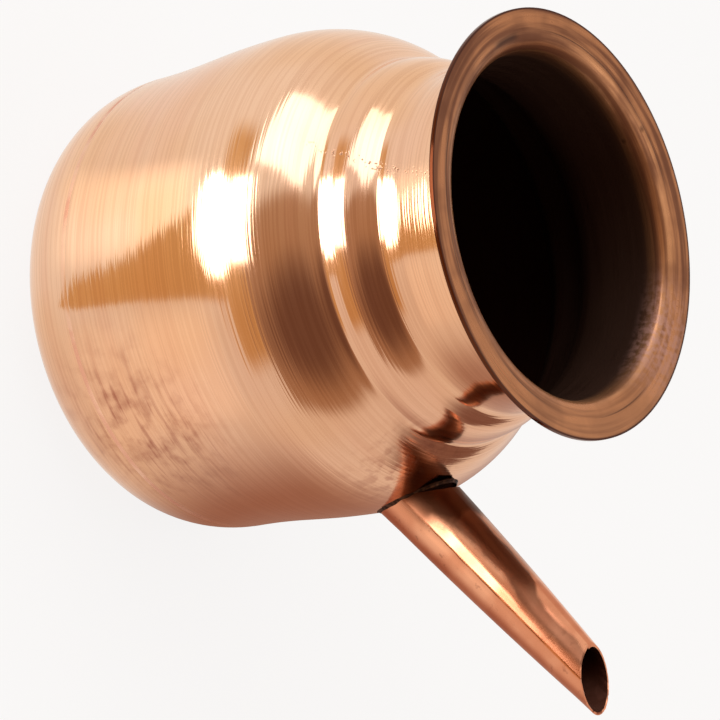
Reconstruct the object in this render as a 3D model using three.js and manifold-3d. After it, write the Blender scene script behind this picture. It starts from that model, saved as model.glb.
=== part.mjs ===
// Spouted copper lota: a round water pot with a stepped shoulder, a narrow neck, a flared
// mouth and a straight tapering spout. Millimetres, +Z up. The origin is the centre of the
// flat that the pot stands on, and the spout points along +X.
import * as THREE from 'three';
import { mergeVertices } from 'three/addons/utils/BufferGeometryUtils.js';
import Module from 'manifold-3d';

const wasm = await Module();
wasm.setup();

// Sheet, gaps and facets
const wall = 0.8;                 // copper sheet of the pan, the body and the spout
const clearance = 0.3;            // gap between two pieces that seat on each other
const overrun = 2;                // how far a cutting shape runs past what it cuts
const potFacets = 56;             // flats round the pot
const spoutFacets = 28;           // flats round the spout
const samePoint = 0.01;           // points of an outline nearer than this are one
const sameCorner = 0.001;         // and corners of a mesh

// Base pan
const seatRadius = 37;            // flat that the pot stands on
const heelInset = 1.5;            // from the belly's radius in to the pan's rim
const heelHeight = 18;            // height of the seam between pan and body
const lapHeight = 5;              // how far the pan's rim reaches up inside the body
const heelSolderHeight = 0.6;     // solder line that shows between pan and body

// Body: belly, shoulder and the two steps below the neck
const bellyRadius = 51.2;
const bellyRise = 35.5;           // from the pan's seam to the widest place
const shoulderRise = 25.5;        // from the widest place to the lower crease
const creaseDepth = 0.3;          // how far the lower crease is drawn in under its step
const creaseRise = 0.7;           // from a crease to the foot of the wall above it
const stepWallRise = 4.7;         // upright part of the lower step
const stepRollRise = 4.6;         // rounded part, up to the upper crease
const stepDepth = 4.2;            // how far the step stands out past the upper crease
const collarRise = 2.2;           // tapering foot of the neck
const collarDepth = 0.9;          // how far the upper crease stands out past the neck

// Neck and mouth
const neckRadius = 35.2;          // outside of the neck, where the lip begins
const neckRise = 2.7;             // plain stretch of the neck
const lipRise = 15.7;             // from the plain stretch to the rim
const mouthRadius = 44;           // outside of the rim

// Spout
const spoutElevation = 41;        // degrees above the horizontal
const spoutOriginHeight = 19.8;   // where the spout's axis crosses the pot's own
const spoutReach = 91.4;          // from the pot's axis to the middle of the spout's mouth
const spoutRootRadius = 7.7;      // outside of the spout where it meets the belly
const spoutTipRadius = 4.9;       // outside of the spout at its mouth
const spoutRootInset = 1;         // how far the root stands inside the body
const spoutCutTilt = 88;          // degrees, elevation of the way that the cut mouth faces
const lapStep = 0.45;             // sheet edge that shows along the spout's rolled seam
const lapAngle = 8;               // degrees from the spout's top to its seam
const lapSweep = 70;              // degrees over which the lapped sheet sinks away
const solderWidth = 1.4;          // solder round the spout's root, along the body
const solderHeight = 0.9;         // and out from the body
const spoutBlankStart = 33;       // along the spout's axis, well inside the body

// Leans of the sheet in from upright, in degrees
const stepFootLean = 4;
const stepTopLean = 20;               // where the step's wall rolls in
const stepRollLean = 54;              // beside the upper crease
const collarFootLean = 22;
const collarTopLean = 1;
const neckLean = -5;                  // the neck widens a little towards the lip

// Shares that shape the curves
const shoulderSweepShare = 0.68;      // of a quarter ellipse
const leanPullShare = 0.36;           // of the reach between two leaning points
const bellyCurveShare = 0.45;         // of the rise from heel to belly
const lipUprightShare = 0.84;         // of the lip's rise, before it turns outward
const lipFlareShare = 0.74;           // of the lip's overhang, level at the rim
const lipDroopShare = 0.04;           // of the lip's rise, still to climb there
const spoutBellyShare = 0.5;          // where the spout's side bows out, along its length
const spoutBowShare = 0.04;           // and by how much of the root's radius
const rimRoundShare = 0.3;            // of the sheet, rounded off the rim's edge
const mitreShare = 0.5;               // least cosine at a corner, past which it isn't mitred

// Steps along each curve
const sideSteps = 6;
const shoulderSteps = 9;
const stepWallSteps = 3;
const stepRollSteps = 6;
const collarSteps = 3;
const neckSteps = 2;
const lipSteps = 11;
const heelSteps = 7;
const spoutSteps = 6;

// Heights and radii that follow
const heelRadius = bellyRadius - heelInset;
const bodyFoot = heelHeight + heelSolderHeight;
const bellyHeight = heelHeight + bellyRise;
const lowerCreaseHeight = bellyHeight + shoulderRise;
const stepFoot = lowerCreaseHeight + creaseRise;
const stepWallTop = stepFoot + stepWallRise;
const upperCreaseHeight = stepWallTop + stepRollRise;
const collarFoot = upperCreaseHeight + creaseRise;
const collarTop = collarFoot + collarRise;
const neckTop = collarTop + neckRise;
const rimHeight = neckTop + lipRise;
const upperCreaseRadius = neckRadius + collarDepth;
const stepRadius = upperCreaseRadius + stepDepth;
const lowerCreaseRadius = stepRadius - creaseDepth;

const up = new THREE.Vector2(0, 1);
const quarterTurn = Math.PI / 2;
const fullTurn = Math.PI * 2;

// Points of an ellipse whose widest place is at (radius, height), between two angles
function ellipsePoints(radius, height, acrossAxis, upAxis, from, to, steps) {
  const curve = new THREE.EllipseCurve(radius - acrossAxis, height, acrossAxis, upAxis, from, to);
  return curve.getPoints(steps);
}

function bezierPoints(start, startPull, endPull, end, steps) {
  return new THREE.CubicBezierCurve(start, startPull, endPull, end).getPoints(steps);
}

// Way that the sheet climbs where it leans in by so many degrees
function leaningWay(lean) {
  const turn = THREE.MathUtils.degToRad(lean);
  return new THREE.Vector2(-Math.sin(turn), Math.cos(turn));
}

// A run that leaves and arrives with given leans
function leaningPoints(start, startLean, end, endLean, steps) {
  const pull = start.distanceTo(end) * leanPullShare;
  return bezierPoints(
    start,
    start.clone().addScaledVector(leaningWay(startLean), pull),
    end.clone().addScaledVector(leaningWay(endLean), -pull),
    end,
    steps,
  );
}

// Top of a low wall that bends from one lean to another
function wallTop(foot, rise, footLean, topLean) {
  const mean = THREE.MathUtils.degToRad((footLean + topLean) / 2);
  return new THREE.Vector2(foot.x - rise * Math.tan(mean), foot.y + rise);
}

// Joins runs of points and leaves out a point that repeats the one before it
function joinRuns(...runs) {
  return runs.flat().filter((point, i, all) => i === 0 || point.distanceTo(all[i - 1]) > samePoint);
}

// Moves an open outline sideways, to the left of its direction where distance is positive,
// with its corners mitred so that the sheet keeps its thickness
function offsetOutline(points, distance) {
  const last = points.length - 1;
  return points.map((point, i) => {
    const into = runDirection(points[Math.max(i - 1, 0)], points[Math.max(i, 1)]);
    const out = runDirection(points[Math.min(i, last - 1)], points[Math.min(i + 1, last)]);
    const along = new THREE.Vector2().addVectors(into, out).normalize();
    const mitre = distance / Math.max(along.dot(into), mitreShare);
    return new THREE.Vector2(point.x - along.y * mitre, point.y + along.x * mitre);
  });
}

function runDirection(from, to) {
  return new THREE.Vector2().subVectors(to, from).normalize();
}

// A sheet that is thick to the left of an outline, with its two edges square
function sheetSection(outline, thickness) {
  return outline.concat(offsetOutline(outline, thickness).reverse());
}

// Closed or axis-to-axis outline, turned about Z with its faces pointing out
function turned(section, closes, facets) {
  const ring = closes ? section.concat([section[0]]) : section;
  const outward = THREE.ShapeUtils.area(section) > 0 ? ring : ring.slice().reverse();
  const geometry = new THREE.LatheGeometry(outward, facets);
  geometry.rotateX(quarterTurn);
  return geometry;
}

// Skin over rings that all have the same number of points, with both ends closed
function lofted(rings) {
  const count = rings[0].length;
  const positions = rings.flat().flatMap((point) => [point.x, point.y, point.z]);
  const faces = [];
  for (let i = 0; i < rings.length - 1; i += 1) {
    for (let j = 0; j < count; j += 1) {
      const a = i * count + j;
      const b = i * count + ((j + 1) % count);
      faces.push(a, b, b + count, a, b + count, a + count);
    }
  }
  const last = (rings.length - 1) * count;
  for (let j = 1; j < count - 1; j += 1) {
    faces.push(0, j + 1, j, last, last + j, last + j + 1);
  }
  const geometry = new THREE.BufferGeometry();
  geometry.setAttribute('position', new THREE.Float32BufferAttribute(positions, 3));
  geometry.setIndex(faces);
  return geometry;
}

function toSolid(source) {
  const bare = source.clone();
  bare.deleteAttribute('normal');
  bare.deleteAttribute('uv');
  const merged = mergeVertices(bare, sameCorner);
  const index = Array.from(merged.index.array);
  const kept = [];
  for (let i = 0; i < index.length; i += 3) {
    const [a, b, c] = index.slice(i, i + 3);
    if (a !== b && b !== c && c !== a) kept.push(a, b, c);
  }
  return new wasm.Manifold(new wasm.Mesh({
    numProp: 3,
    vertProperties: Float32Array.from(merged.attributes.position.array),
    triVerts: Uint32Array.from(kept),
  }));
}

function toGeometry(solid) {
  const mesh = solid.getMesh();
  const geometry = new THREE.BufferGeometry();
  geometry.setAttribute('position', new THREE.BufferAttribute(mesh.vertProperties, mesh.numProp));
  geometry.setIndex(new THREE.BufferAttribute(mesh.triVerts, 1));
  return geometry;
}

function named(name, geometry, color, roughness) {
  const material = new THREE.MeshStandardMaterial({ color, roughness, metalness: 1 });
  geometry.computeVertexNormals();
  const mesh = new THREE.Mesh(geometry, material);
  mesh.name = name;
  return mesh;
}

// Outside of the body, from its foot up to the rim
function bodyOutline() {
  const foot = new THREE.Vector2(heelRadius, bodyFoot);
  const belly = new THREE.Vector2(bellyRadius, bellyHeight);
  const pull = (bellyHeight - bodyFoot) * bellyCurveShare;
  const side = bezierPoints(
    foot,
    foot.clone().addScaledVector(up, pull),
    belly.clone().addScaledVector(up, -pull),
    belly,
    sideSteps,
  );
  return joinRuns(side, shoulderOutline(), stepOutline(), neckOutline(), lipOutline());
}

function shoulderOutline() {
  const sweep = shoulderSweepShare * quarterTurn;
  const across = (bellyRadius - lowerCreaseRadius) / (1 - Math.cos(sweep));
  const rise = shoulderRise / Math.sin(sweep);
  return ellipsePoints(bellyRadius, bellyHeight, across, rise, 0, sweep, shoulderSteps);
}

// The step stands nearly upright from the lower crease and then rolls in to the upper one
function stepOutline() {
  const foot = new THREE.Vector2(stepRadius, stepFoot);
  const top = wallTop(foot, stepWallRise, stepFootLean, stepTopLean);
  const crease = new THREE.Vector2(upperCreaseRadius, upperCreaseHeight);
  const wallRun = leaningPoints(foot, stepFootLean, top, stepTopLean, stepWallSteps);
  return wallRun.concat(leaningPoints(top, stepTopLean, crease, stepRollLean, stepRollSteps));
}

function neckOutline() {
  const foot = new THREE.Vector2(upperCreaseRadius - creaseRise / 2, collarFoot);
  const top = wallTop(foot, collarRise, collarFootLean, collarTopLean);
  const neck = new THREE.Vector2(neckRadius, neckTop);
  const collar = leaningPoints(foot, collarFootLean, top, collarTopLean, collarSteps);
  return collar.concat(leaningPoints(top, collarTopLean, neck, neckLean, neckSteps));
}

function lipOutline() {
  const foot = new THREE.Vector2(neckRadius, neckTop);
  const edge = new THREE.Vector2(mouthRadius - wall * rimRoundShare, rimHeight - wall);
  const flare = edge.x - foot.x;
  const swing = THREE.MathUtils.degToRad(neckLean);
  const upright = lipRise * lipUprightShare;
  return bezierPoints(
    foot,
    new THREE.Vector2(foot.x - upright * Math.tan(swing), foot.y + upright),
    new THREE.Vector2(edge.x - flare * lipFlareShare, edge.y - lipRise * lipDroopShare),
    edge,
    lipSteps,
  );
}

// Outside of the base pan, from the middle of its flat to the heel
function panOutline() {
  const corner = heelRadius - seatRadius;
  const seat = [new THREE.Vector2(0, 0), new THREE.Vector2(seatRadius, 0)];
  const heel = ellipsePoints(heelRadius, heelHeight, corner, heelHeight, -quarterTurn, 0, heelSteps);
  return joinRuns(seat, heel);
}

// The spout's own frame: X to its top, Z along it, with its origin on the pot's axis
function spoutFrame() {
  const tilt = THREE.MathUtils.degToRad(spoutElevation);
  const along = new THREE.Vector3(Math.cos(tilt), 0, Math.sin(tilt));
  const top = new THREE.Vector3(-Math.sin(tilt), 0, Math.cos(tilt));
  const side = new THREE.Vector3().crossVectors(along, top);
  return new THREE.Matrix4().makeBasis(top, side, along).setPosition(0, 0, spoutOriginHeight);
}

const spoutLength = spoutReach / Math.cos(THREE.MathUtils.degToRad(spoutElevation));
const spoutRoot = bellyRadius / Math.cos(THREE.MathUtils.degToRad(spoutElevation));

// Outside radius of the rolled sheet at a distance along the spout's axis
function spoutRadius(distance) {
  const share = (distance - spoutRoot) / (spoutLength - spoutRoot);
  const bow = spoutBowShare * Math.max(0, 1 - ((share - spoutBellyShare) / spoutBellyShare) ** 2);
  return THREE.MathUtils.lerp(spoutRootRadius, spoutTipRadius, share) + spoutRootRadius * bow;
}

// How far the lapped edge stands off the tube, at an angle from the spout's top
function lapHeightAt(angle) {
  const past = THREE.MathUtils.euclideanModulo(angle - THREE.MathUtils.degToRad(lapAngle), fullTurn);
  return lapStep * Math.max(0, 1 - past / THREE.MathUtils.degToRad(lapSweep));
}

// One solid along the spout, grown or shrunk by an amount, with or without the lapped edge
function spoutBlank(grow, withLap, from, to) {
  const lap = THREE.MathUtils.degToRad(lapAngle);
  const rings = Array.from({ length: spoutSteps + 1 }, (_, i) => {
    const distance = THREE.MathUtils.lerp(from, to, i / spoutSteps);
    return Array.from({ length: spoutFacets }, (_unused, j) => {
      const angle = lap + (fullTurn * j) / spoutFacets;
      const radius = spoutRadius(distance) + grow + (withLap ? lapHeightAt(angle) : 0);
      return new THREE.Vector3(radius * Math.cos(angle), radius * Math.sin(angle), distance);
    });
  });
  return lofted(rings).applyMatrix4(spoutFrame());
}

// All that lies past the oblique cut of the spout's mouth
function spoutOffcut() {
  const size = spoutLength;
  const block = new THREE.BoxGeometry(size, size, size);
  block.translate(0, 0, size / 2);
  block.rotateY(quarterTurn - THREE.MathUtils.degToRad(spoutCutTilt));
  const middle = new THREE.Vector3(0, 0, spoutLength).applyMatrix4(spoutFrame());
  return block.translate(middle.x, middle.y, middle.z);
}

function makeBasePan() {
  const lapRadius = heelRadius - wall - clearance;
  const outline = panOutline().concat([
    new THREE.Vector2(lapRadius, heelHeight),
    new THREE.Vector2(lapRadius, heelHeight + lapHeight),
  ]);
  const joggle = heelHeight - wall;
  const dish = offsetOutline(panOutline(), wall).filter((point) => point.y < joggle);
  const inside = [
    new THREE.Vector2(lapRadius - wall, heelHeight + lapHeight),
    new THREE.Vector2(lapRadius - wall, joggle),
    new THREE.Vector2(heelRadius - wall, joggle),
  ];
  return turned(outline.concat(inside, dish.reverse()), false, potFacets);
}

function makeHeelSolder() {
  const inner = heelRadius - wall;
  return turned([
    new THREE.Vector2(inner, heelHeight),
    new THREE.Vector2(heelRadius, heelHeight),
    new THREE.Vector2(heelRadius, bodyFoot),
    new THREE.Vector2(inner, bodyFoot),
  ], true, potFacets);
}

function makeBodyShell() {
  const outline = bodyOutline();
  const rim = new THREE.Vector2(mouthRadius, rimHeight - wall / 2);
  const inside = offsetOutline(outline, wall);
  inside[0] = new THREE.Vector2(heelRadius - wall, bodyFoot);
  const sheet = toSolid(turned(outline.concat([rim], inside.reverse()), true, potFacets));
  const hole = toSolid(spoutBlank(clearance, true, spoutBlankStart, spoutLength));
  return toGeometry(sheet.subtract(hole));
}

function makeSpoutTube() {
  const end = spoutLength + spoutRootRadius + overrun;
  const tube = toSolid(spoutBlank(0, true, spoutBlankStart, end));
  const bore = toSolid(spoutBlank(-wall, false, spoutBlankStart - overrun, end + overrun));
  const core = offsetOutline(bodyOutline(), wall + spoutRootInset);
  const inside = core.concat([new THREE.Vector2(0, rimHeight), new THREE.Vector2(0, bodyFoot)]);
  const room = toSolid(turned(joinRuns(inside), true, potFacets));
  return toGeometry(tube.subtract(bore).subtract(room).subtract(toSolid(spoutOffcut())));
}

function makeSpoutSolder() {
  const outline = bodyOutline();
  const band = sheetSection(offsetOutline(outline, -clearance), -solderHeight);
  const skin = toSolid(turned(band, true, potFacets));
  const reach = spoutLength + overrun;
  const outside = toSolid(spoutBlank(clearance + solderWidth, true, spoutBlankStart, spoutLength));
  const inside = toSolid(spoutBlank(clearance, true, spoutBlankStart - overrun, reach));
  return toGeometry(skin.intersect(outside.subtract(inside)));
}

const lota = new THREE.Group();
lota.add(
  named('base_pan', makeBasePan(), 0xd9976b, 0.28),
  named('heel_solder', makeHeelSolder(), 0xd49473, 0.3),
  named('body_shell', makeBodyShell(), 0xe0a072, 0.2),
  named('spout_tube', makeSpoutTube(), 0xc8734c, 0.22),
  named('spout_solder', makeSpoutSolder(), 0x6f3f2c, 0.5),
);

export default lota;
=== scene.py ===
"""Spouted copper lota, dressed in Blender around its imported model.

The pot is spun and rolled copper sheet: a base pan, a body with a stepped shoulder and a flared
lip, a rolled spout with a lapped seam, and the braze that joins them. Everything is in metres in
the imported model's frame: +Z up, the pot's axis on Z and the spout along +X.
"""

import logging
import math
import random
from contextlib import contextmanager
from dataclasses import dataclass
from enum import Enum
from typing import Callable, Iterator, Sequence

import bmesh
import bpy
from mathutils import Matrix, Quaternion, Vector


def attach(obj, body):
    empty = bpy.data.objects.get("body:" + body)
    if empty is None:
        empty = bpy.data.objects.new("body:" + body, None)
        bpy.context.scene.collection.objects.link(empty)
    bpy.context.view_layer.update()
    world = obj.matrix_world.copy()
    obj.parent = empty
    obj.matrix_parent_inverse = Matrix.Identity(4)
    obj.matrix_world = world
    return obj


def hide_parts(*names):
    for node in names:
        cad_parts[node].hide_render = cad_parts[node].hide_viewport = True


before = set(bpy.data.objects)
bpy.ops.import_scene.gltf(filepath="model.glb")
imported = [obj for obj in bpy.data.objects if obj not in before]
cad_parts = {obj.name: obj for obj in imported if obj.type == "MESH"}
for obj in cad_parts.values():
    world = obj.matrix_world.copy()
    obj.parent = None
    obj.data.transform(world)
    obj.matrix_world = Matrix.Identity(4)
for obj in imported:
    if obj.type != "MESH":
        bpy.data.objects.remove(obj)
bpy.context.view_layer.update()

LOG = logging.getLogger("lota")
MM = 0.001
ROOT_BODY = "root"
AXIS = Vector((0.0, 0.0, 1.0))

Material = bpy.types.Material
Piece = bpy.types.Object
Socket = bpy.types.NodeSocket
Tree = bpy.types.NodeTree


class Slot(Enum):
    """The record's material slots."""

    BASE = "base_copper"
    HEEL_BRAZE = "heel_braze"
    BODY = "body_copper"
    SPOUT = "spout_copper"
    SPOUT_BRAZE = "spout_braze"


class Side(Enum):
    """Material index of each side of a sheet."""

    OUTSIDE = 0
    INSIDE = 1


class Kind(Enum):
    """The kinds of shader node that the finishes are made of."""

    BACKGROUND = "ShaderNodeBackground"
    BUMP = "ShaderNodeBump"
    COMBINE = "ShaderNodeCombineXYZ"
    COORDINATES = "ShaderNodeTexCoord"
    DIFFUSE = "ShaderNodeBsdfDiffuse"
    EMISSION = "ShaderNodeEmission"
    LIGHT_PATH = "ShaderNodeLightPath"
    MATERIAL_OUT = "ShaderNodeOutputMaterial"
    MATH = "ShaderNodeMath"
    MIX = "ShaderNodeMix"
    MIX_SHADER = "ShaderNodeMixShader"
    NOISE = "ShaderNodeTexNoise"
    RANGE = "ShaderNodeMapRange"
    SEPARATE = "ShaderNodeSeparateXYZ"
    TANGENT = "ShaderNodeTangent"
    VECTOR = "ShaderNodeVectorMath"
    WORLD_OUT = "ShaderNodeOutputWorld"


# Colour and patterns


def linear(hex_colour: str) -> tuple[float, float, float, float]:
    """Turns an sRGB hex colour into the linear colour that a shader takes.

    Args:
        hex_colour: Six hex digits after a hash.

    Returns:
        Linear red, green, blue and an alpha of one.
    """
    channels = [int(hex_colour[i:i + 2], 16) / 255 for i in (1, 3, 5)]
    red, green, blue = (
        c / 12.92 if c <= 0.04045 else ((c + 0.055) / 1.055) ** 2.4 for c in channels
    )
    return red, green, blue, 1.0


def add_node(tree: Tree, kind: Kind, *inputs: object, **settings: object) -> Socket | None:
    """Adds a node with its settings and fills its live inputs in their order.

    Args:
        tree: The node tree that gets the node.
        kind: What the node is.
        inputs: For each live input a socket to join, a number, vector or hex colour to set, or
            None to leave it as it is.
        settings: Properties of the node itself.

    Returns:
        The node's first live output, if it has one.
    """
    node = tree.nodes.new(kind.value)
    for name, value in settings.items():
        setattr(node, name, value)
    live = [socket for socket in node.inputs if socket.enabled]
    for socket, value in zip(live, inputs):
        if isinstance(value, Socket):
            tree.links.new(value, socket)
        elif value is not None:
            socket.default_value = linear(value) if isinstance(value, str) else value
    return next((socket for socket in node.outputs if socket.enabled), None)


def mask(
    tree: Tree, *limits: Socket | tuple[Socket, float, float], share: float = 1.0
) -> Socket:
    """Marks where every measure lies past its limits, with eased edges.

    Args:
        tree: The node tree.
        limits: Each a mask, or a measure with the value where it starts to count and the value
            where it counts in full.
        share: What the result comes to where all count in full.

    Returns:
        A value between nought and the share.
    """
    factors = [
        add_node(tree, Kind.RANGE, *limit, interpolation_type="SMOOTHSTEP")
        if isinstance(limit, tuple)
        else limit
        for limit in limits
    ]
    if share != 1.0:
        factors.append(share)
    result = factors[0]
    for factor in factors[1:]:
        result = add_node(tree, Kind.MATH, result, factor, operation="MULTIPLY")
    return result


def coats(
    tree: Tree, base: Socket | str, *layers: tuple[Socket, float, Socket | str]
) -> Socket:
    """Lays tones over a base, one after another.

    Args:
        tree: The node tree.
        base: The tone underneath.
        layers: For each coat its mask, how much it covers at most, and its tone.

    Returns:
        The colour.
    """
    for where, cover, tone in layers:
        if cover != 1.0:
            where = add_node(tree, Kind.MATH, where, cover, operation="MULTIPLY")
        base = add_node(tree, Kind.MIX, where, base, tone, data_type="RGBA")
    return base


def weighted(
    tree: Tree, start: Socket | float, *parts: tuple[Socket, Socket | float]
) -> Socket:
    """Adds weighted parts to a start.

    Args:
        tree: The node tree.
        start: The value before any part is added.
        parts: Each part with its weight.

    Returns:
        The sum.
    """
    for part, weight in parts:
        start = add_node(tree, Kind.MATH, part, weight, start, operation="MULTIPLY_ADD")
    return start


@dataclass(frozen=True)
class TurnedPlace:
    """Sockets that say where a point lies on something turned about Z, in metres."""

    tree: Tree
    position: Socket
    across: Socket
    aside: Socket
    height: Socket
    radius: Socket
    azimuth: Socket

    @classmethod
    def on(cls, tree: Tree) -> "TurnedPlace":
        """Reads the place from object coordinates.

        Args:
            tree: The material's node tree.

        Returns:
            The sockets of the place.
        """
        position = add_node(tree, Kind.COORDINATES).node.outputs["Object"]
        x, y, z = add_node(tree, Kind.SEPARATE, position).node.outputs
        square = add_node(tree, Kind.MATH, y, y, operation="MULTIPLY")
        square = add_node(tree, Kind.MATH, x, x, square, operation="MULTIPLY_ADD")
        radius = add_node(tree, Kind.MATH, square, operation="SQRT")
        azimuth = add_node(tree, Kind.MATH, y, x, operation="ARCTAN2")
        return cls(tree, position, x, y, z, radius, azimuth)

    def rings(self, pitch_mm: float, arc_mm: float, detail: float = 1.0) -> Socket:
        """Uneven lines round the axis, as a spinning tool and polish leave them.

        Args:
            pitch_mm: How far apart the lines lie along the section.
            arc_mm: How long one line runs before it fades into another.
            detail: Octaves of finer lines.

        Returns:
            A value round one half.
        """
        tree = self.tree
        lines = 1 / (pitch_mm * MM)
        run = 1 / (arc_mm * MM)
        place = add_node(tree, Kind.COMBINE, self.radius, self.height, self.across)
        place = add_node(tree, Kind.VECTOR, place, (lines, lines, run), operation="MULTIPLY")
        aside = add_node(tree, Kind.MATH, self.aside, run, operation="MULTIPLY")
        return add_node(tree, Kind.NOISE, place, aside, 1.0, detail, noise_dimensions="4D")

    def blotches(self, size_mm: float, detail: float = 2.0, offset: float = 0.0) -> Socket:
        """Soft clouds of a real size.

        Args:
            size_mm: How far across one cloud is.
            detail: Octaves of finer clouds.
            offset: Moves the pattern, so that two masks differ.

        Returns:
            A value round one half.
        """
        shift = (offset, offset, offset)
        moved = add_node(self.tree, Kind.VECTOR, self.position, shift, operation="ADD")
        return add_node(self.tree, Kind.NOISE, moved, 1 / (size_mm * MM), detail)

    def facing(self, azimuth_deg: float) -> Socket:
        """Cosine of the angle round the axis from an azimuth.

        Args:
            azimuth_deg: The azimuth, from +X towards +Y.

        Returns:
            A value from minus one behind to one on that side.
        """
        middle = math.radians(azimuth_deg)
        turn = add_node(self.tree, Kind.MATH, self.azimuth, middle, operation="SUBTRACT")
        return add_node(self.tree, Kind.MATH, turn, operation="COSINE")

    def near(self, centre_mm: Sequence[float], reach_mm: float) -> Socket:
        """Fades from one at a point to nought at a distance from it.

        Args:
            centre_mm: The point.
            reach_mm: Where it has faded out.

        Returns:
            A value between nought and one.
        """
        centre = Vector(centre_mm) * MM
        away = add_node(self.tree, Kind.VECTOR, self.position, centre, operation="DISTANCE")
        return mask(self.tree, (away, reach_mm * MM, 0.0))

    def ring(self, radius_mm: float, half_width_mm: float) -> Socket:
        """Marks a thin ring round the axis.

        Args:
            radius_mm: The ring's own radius.
            half_width_mm: Where it has faded out, to either side.

        Returns:
            A value between nought and one.
        """
        off = add_node(self.tree, Kind.MATH, self.radius, radius_mm * MM, operation="SUBTRACT")
        off = add_node(self.tree, Kind.MATH, off, operation="ABSOLUTE")
        return mask(self.tree, (off, half_width_mm * MM, 0.0))


# Place of the spout


@dataclass
class SpoutAxis:
    """The spout's place: a tapering tube that leans up and away from the belly."""

    elevation_deg: float = 41.0
    origin_height: float = 19.8
    reach: float = 91.4
    root_distance: float = 67.58
    root_radius: float = 7.7
    tip_radius: float = 4.9
    bow: float = 0.04

    @property
    def along(self) -> Vector:
        """Direction of the spout."""
        tilt = math.radians(self.elevation_deg)
        return Vector((math.cos(tilt), 0.0, math.sin(tilt)))

    @property
    def top(self) -> Vector:
        """Direction from the axis to the spout's top side."""
        tilt = math.radians(self.elevation_deg)
        return Vector((-math.sin(tilt), 0.0, math.cos(tilt)))

    @property
    def length(self) -> float:
        """Distance along the axis from the pot's own to the mouth's middle."""
        return self.reach / math.cos(math.radians(self.elevation_deg))

    @property
    def rotation(self) -> tuple[float, float, float]:
        """Euler angles that turn +Z to the spout's direction."""
        return 0.0, math.radians(90 - self.elevation_deg), 0.0

    def point(self, distance: float) -> Vector:
        """A point of the axis, in metres, at a distance in millimetres."""
        return (Vector((0.0, 0.0, self.origin_height)) + self.along * distance) * MM

    def outward(self, degrees: float) -> Vector:
        """Direction from the axis at an angle from the top, towards -Y."""
        turn = math.radians(degrees)
        return self.top * math.cos(turn) + Vector((0.0, -1.0, 0.0)) * math.sin(turn)

    def around(self, place: Vector) -> tuple[float, Vector, float]:
        """Says where a point lies on the spout.

        Args:
            place: The point, in metres.

        Returns:
            Millimetres along the axis, the way from the axis to the point in metres, and the
            degrees from the top towards -Y.
        """
        out = place - self.point(0.0)
        along = out.dot(self.along)
        out -= self.along * along
        return along / MM, out, math.degrees(math.atan2(-out.y, out.dot(self.top)))

    def radius(self, distance: float) -> float:
        """Outside radius of the tube, which swells a little in the middle.

        Args:
            distance: Millimetres along the axis.

        Returns:
            The radius in millimetres.
        """
        share = (distance - self.root_distance) / (self.length - self.root_distance)
        swell = self.root_radius * self.bow * max(0.0, 1 - (share / 0.5 - 1) ** 2)
        return self.root_radius + (self.tip_radius - self.root_radius) * share + swell


# Finishes


@dataclass(frozen=True)
class Look:
    """What a finish gives its shader at each place."""

    colour: Socket
    roughness: Socket
    relief: Socket


@dataclass(frozen=True)
class MetalFinish:
    """A bare metal surface. Each finish below says how its metal looks."""

    name: str = "metal"
    metallic: float = 1.0
    anisotropy: float = 0.0
    relief_mm: float = 0.04

    def look(self, place: TurnedPlace) -> Look:
        """Says how the metal looks at each place."""
        raise NotImplementedError

    def material(self) -> Material:
        """Builds the material.

        Returns:
            The finished material.
        """
        material = bpy.data.materials.new(self.name)
        material.use_nodes = True
        tree = material.node_tree
        inputs = tree.nodes["Principled BSDF"].inputs
        inputs["Metallic"].default_value = self.metallic
        inputs["Anisotropic"].default_value = self.anisotropy
        look = self.look(TurnedPlace.on(tree))
        relief = add_node(tree, Kind.BUMP, 1.0, self.relief_mm * MM, None, look.relief)
        tree.links.new(look.colour, inputs["Base Color"])
        tree.links.new(look.roughness, inputs["Roughness"])
        tree.links.new(relief, inputs["Normal"])
        if self.anisotropy:
            tangent = add_node(tree, Kind.TANGENT, direction_type="RADIAL", axis="Z")
            tree.links.new(tangent, inputs["Tangent"])
        return material


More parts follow.
